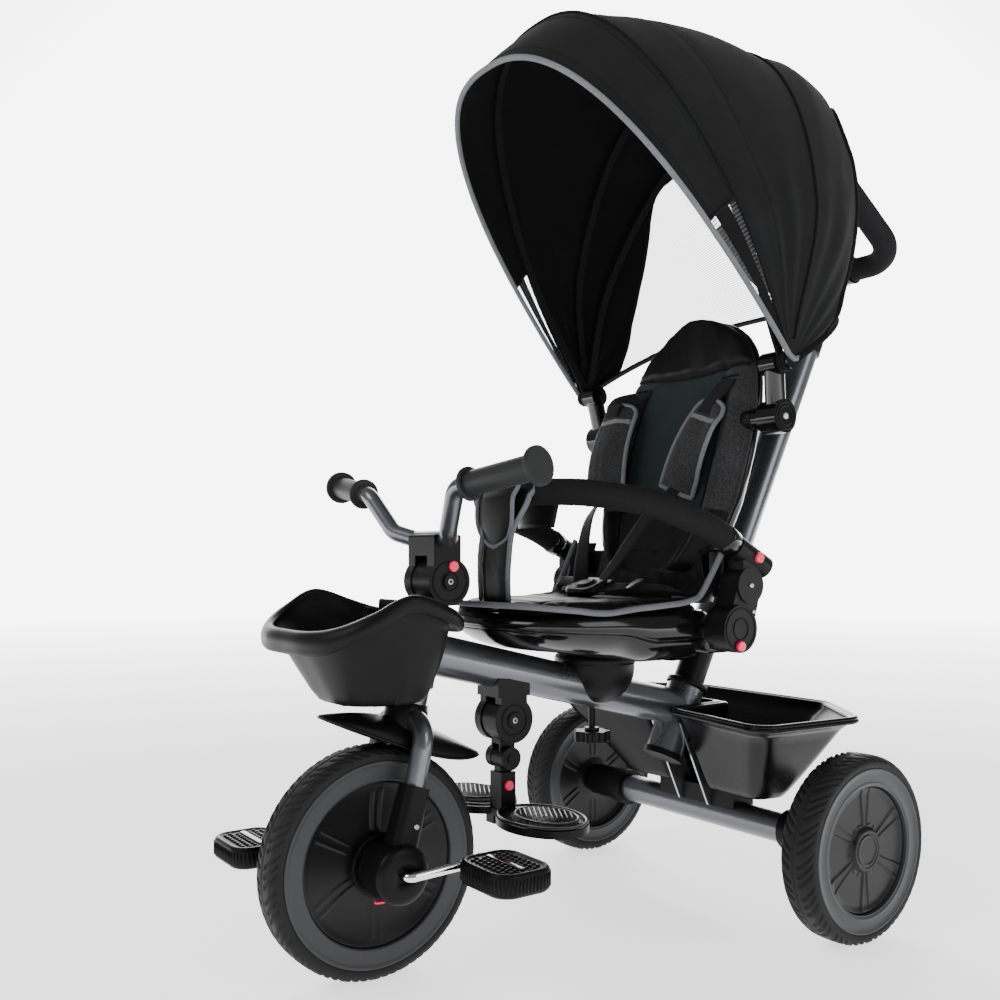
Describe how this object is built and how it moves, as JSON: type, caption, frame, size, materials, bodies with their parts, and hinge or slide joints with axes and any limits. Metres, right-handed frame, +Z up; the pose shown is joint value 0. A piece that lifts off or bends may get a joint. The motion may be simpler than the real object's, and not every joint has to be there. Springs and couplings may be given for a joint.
{
  "type": "tricycle",
  "caption": "Child's push tricycle: pedal front wheel, padded seat with guard bar, folding footrest, front and rear baskets, sun canopy and push pole",
  "frame": {"origin": "on the ground under the middle of the whole tricycle's bounding box", "axes": "+Z up, the tricycle faces -Y, +X is the rider's left"},
  "size_m": [0.512, 0.9055, 1.0946],
  "materials": {
    "frame_metal": "satin metallic gunmetal",
    "plate_steel": "zinc plated",
    "chrome_steel": "polished",
    "black_plastic": "fine satin grain",
    "gloss_black": "glossy",
    "wheel_grey": "satin",
    "red_plastic": "glossy",
    "tyre_rubber": "matte rubber",
    "grip_rubber": "matte rubber",
    "foam": "matte closed-cell foam",
    "black_fabric": "woven, padded",
    "melange_fabric": "melange twill"
  },
  "bodies": {
    "frame": {"main_frame": "frame_metal", "pole_stub": "frame_metal", "rear_axle": "frame_metal", "axle_braces": "plate_steel", "frame_trims": "black_plastic", "front_basket": "black_plastic", "rear_basket": "gloss_black", "seat_mount": "black_plastic", "footrest_clamp": "black_plastic"},
    "steering": {"fork": "frame_metal", "fork_legs": "black_plastic", "fender": "black_plastic", "stem_base": "black_plastic"},
    "handlebar_set": {"handlebar": "frame_metal", "handlebar_clamp": "black_plastic", "fold_pin": "plate_steel", "hand_grips": "grip_rubber"},
    "fold_button_body": {"fold_button": "red_plastic"},
    "front_wheel": {"front_tyre": "tyre_rubber", "front_rim": "wheel_grey", "front_covers": "gloss_black"},
    "clutch": {"clutch_ring": "black_plastic"},
    "crank_body": {"crank": "chrome_steel"},
    "pedal_left_body": {"pedal_left": "black_plastic"},
    "pedal_right_body": {"pedal_right": "black_plastic"},
    "rear_wheel_left": {"rear_tyre_left": "tyre_rubber", "rear_rim_left": "wheel_grey", "rear_covers_left": "gloss_black"},
    "rear_wheel_right": {"rear_tyre_right": "tyre_rubber", "rear_rim_right": "wheel_grey", "rear_covers_right": "gloss_black"},
    "brake_left": {"brake_lever_left": "black_plastic"},
    "brake_right": {"brake_lever_right": "black_plastic"},
    "knob": {"star_knob": "black_plastic"},
    "footrest_leg": {"footrest_arm": "black_plastic"},
    "footrest_deck": {"footrest_plate": "black_plastic"},
    "footrest_button_body": {"footrest_button": "red_plastic"},
    "seat": {"seat_shell": "gloss_black", "seat_cushion": "black_fabric", "hinge_brackets": "black_plastic"},
    "seat_button_left_body": {"seat_button_left": "red_plastic"},
    "seat_button_right_body": {"seat_button_right": "red_plastic"},
    "guard": {"guard_bar": "frame_metal", "guard_foam": "foam"},
    "guard_button_left_body": {"guard_button_left": "red_plastic"},
    "guard_button_right_body": {"guard_button_right": "red_plastic"},
    "backrest": {"backrest_shell": "gloss_black", "backrest_pad": "black_fabric", "shoulder_pads": "melange_fabric", "canopy_mounts": "gloss_black", "canopy_rear": "melange_fabric", "rib_rear": "frame_metal"},
    "canopy_mid_set": {"rib_mid": "frame_metal", "canopy_mid": "melange_fabric"},
    "canopy_front_set": {"rib_front": "frame_metal", "canopy_front": "melange_fabric"},
    "push": {"push_tubes": "frame_metal", "push_yoke": "gloss_black", "handle_foam": "foam"},
    "pole_button_body": {"pole_button": "red_plastic"}
  },
  "joints": [
    {"name": "steer", "type": "hinge", "parent": "frame", "child": "steering", "pos_m": [0, -0.2865, 0.281], "axis": [0, 0.2267, 0.974], "range_deg": [-30, 30]},
    {"name": "handlebar_fold", "type": "hinge", "parent": "steering", "child": "handlebar_set", "pos_m": [0, -0.2505, 0.411], "axis": [1, 0, 0], "range_deg": [0, 70]},
    {"name": "fold_button_press", "type": "slide", "parent": "handlebar_set", "child": "fold_button_body", "axis": [-1, 0, 0], "range_m": [0, 0.003], "stiffness_N_per_m": 300, "springref_m": -0.003},
    {"name": "front_wheel_spin", "type": "hinge", "parent": "steering", "child": "front_wheel", "pos_m": [0, -0.3315, 0.12], "axis": [1, 0, 0], "continuous": true},
    {"name": "crank_spin", "type": "hinge", "parent": "steering", "child": "crank_body", "pos_m": [0, -0.3315, 0.12], "axis": [1, 0, 0], "continuous": true},
    {"name": "pedal_left_spin", "type": "hinge", "parent": "crank_body", "child": "pedal_left_body", "pos_m": [0.138, -0.25679, 0.12654], "axis": [1, 0, 0], "continuous": true},
    {"name": "pedal_right_spin", "type": "hinge", "parent": "crank_body", "child": "pedal_right_body", "pos_m": [-0.138, -0.40621, 0.11346], "axis": [1, 0, 0], "continuous": true},
    {"name": "clutch_slide", "type": "slide", "parent": "front_wheel", "child": "clutch", "axis": [1, 0, 0], "range_m": [0, 0.004]},
    {"name": "rear_wheel_left_spin", "type": "hinge", "parent": "frame", "child": "rear_wheel_left", "pos_m": [0.234, 0.1645, 0.106], "axis": [1, 0, 0], "continuous": true},
    {"name": "rear_wheel_right_spin", "type": "hinge", "parent": "frame", "child": "rear_wheel_right", "pos_m": [-0.234, 0.1645, 0.106], "axis": [1, 0, 0], "continuous": true},
    {"name": "brake_left_press", "type": "hinge", "parent": "frame", "child": "brake_left", "pos_m": [0, 0.1645, 0.106], "axis": [-1, 0, 0], "range_deg": [0, 12]},
    {"name": "brake_right_press", "type": "hinge", "parent": "frame", "child": "brake_right", "pos_m": [0, 0.1645, 0.106], "axis": [-1, 0, 0], "range_deg": [0, 12]},
    {"name": "knob_turn", "type": "hinge", "parent": "frame", "child": "knob", "pos_m": [0, -0.0285, 0.23], "axis": [0, 0, 1], "continuous": true},
    {"name": "footrest_fold", "type": "hinge", "parent": "frame", "child": "footrest_leg", "pos_m": [0, -0.1605, 0.253], "axis": [1, 0, 0], "range_deg": [0, 42]},
    {"name": "footrest_tilt", "type": "hinge", "parent": "footrest_leg", "child": "footrest_deck", "pos_m": [0, -0.1615, 0.209], "axis": [1, 0, 0], "range_deg": [0, 20]},
    {"name": "footrest_button_press", "type": "slide", "parent": "footrest_deck", "child": "footrest_button_body", "axis": [-1, 0, 0], "range_m": [0, 0.0025], "stiffness_N_per_m": 300, "springref_m": -0.003},
    {"name": "seat_swivel", "type": "hinge", "parent": "frame", "child": "seat", "pos_m": [0, -0.0235, 0.317], "axis": [0, 0, 1], "range_deg": [-40, 40]},
    {"name": "seat_button_left_press", "type": "slide", "parent": "seat", "child": "seat_button_left_body", "axis": [-1, 0, 0], "range_m": [0, 0.003], "stiffness_N_per_m": 300, "springref_m": -0.003},
    {"name": "seat_button_right_press", "type": "slide", "parent": "seat", "child": "seat_button_right_body", "axis": [1, 0, 0], "range_m": [0, 0.003], "stiffness_N_per_m": 300, "springref_m": -0.003},
    {"name": "guard_slide", "type": "slide", "parent": "seat", "child": "guard", "axis": [0, -0.887, 0.4618], "range_m": [0, 0.038]},
    {"name": "guard_button_left_press", "type": "slide", "parent": "seat", "child": "guard_button_left_body", "axis": [-1, 0, 0], "range_m": [0, 0.002], "stiffness_N_per_m": 300, "springref_m": -0.003},
    {"name": "guard_button_right_press", "type": "slide", "parent": "seat", "child": "guard_button_right_body", "axis": [1, 0, 0], "range_m": [0, 0.002], "stiffness_N_per_m": 300, "springref_m": -0.003},
    {"name": "backrest_fold", "type": "hinge", "parent": "seat", "child": "backrest", "pos_m": [0, 0.066, 0.405], "axis": [1, 0, 0], "range_deg": [0, 45]},
    {"name": "canopy_mid_fold", "type": "hinge", "parent": "backrest", "child": "canopy_mid_set", "pos_m": [0, 0.1135, 0.664], "axis": [-1, 0, 0], "range_deg": [0, 10], "deforming": ["canopy_rear"]},
    {"name": "canopy_front_fold", "type": "hinge", "parent": "canopy_mid_set", "child": "canopy_front_set", "pos_m": [0, 0.1135, 0.664], "axis": [-1, 0, 0], "range_deg": [0, 15], "deforming": ["canopy_mid"]},
    {"name": "pole_slide", "type": "slide", "parent": "frame", "child": "push", "axis": [0, 0.4509, 0.8926], "range_m": [0, 0.05]},
    {"name": "pole_button_press", "type": "slide", "parent": "push", "child": "pole_button_body", "axis": [-1, 0, 0], "range_m": [0, 0.002], "stiffness_N_per_m": 300, "springref_m": -0.003}
  ],
  "couplings": [
    {"joint": "crank_spin", "follows": "front_wheel_spin", "ratio": 1},
    {"joint": "canopy_front_fold", "follows": "canopy_mid_fold", "ratio": 1.5}
  ]
}
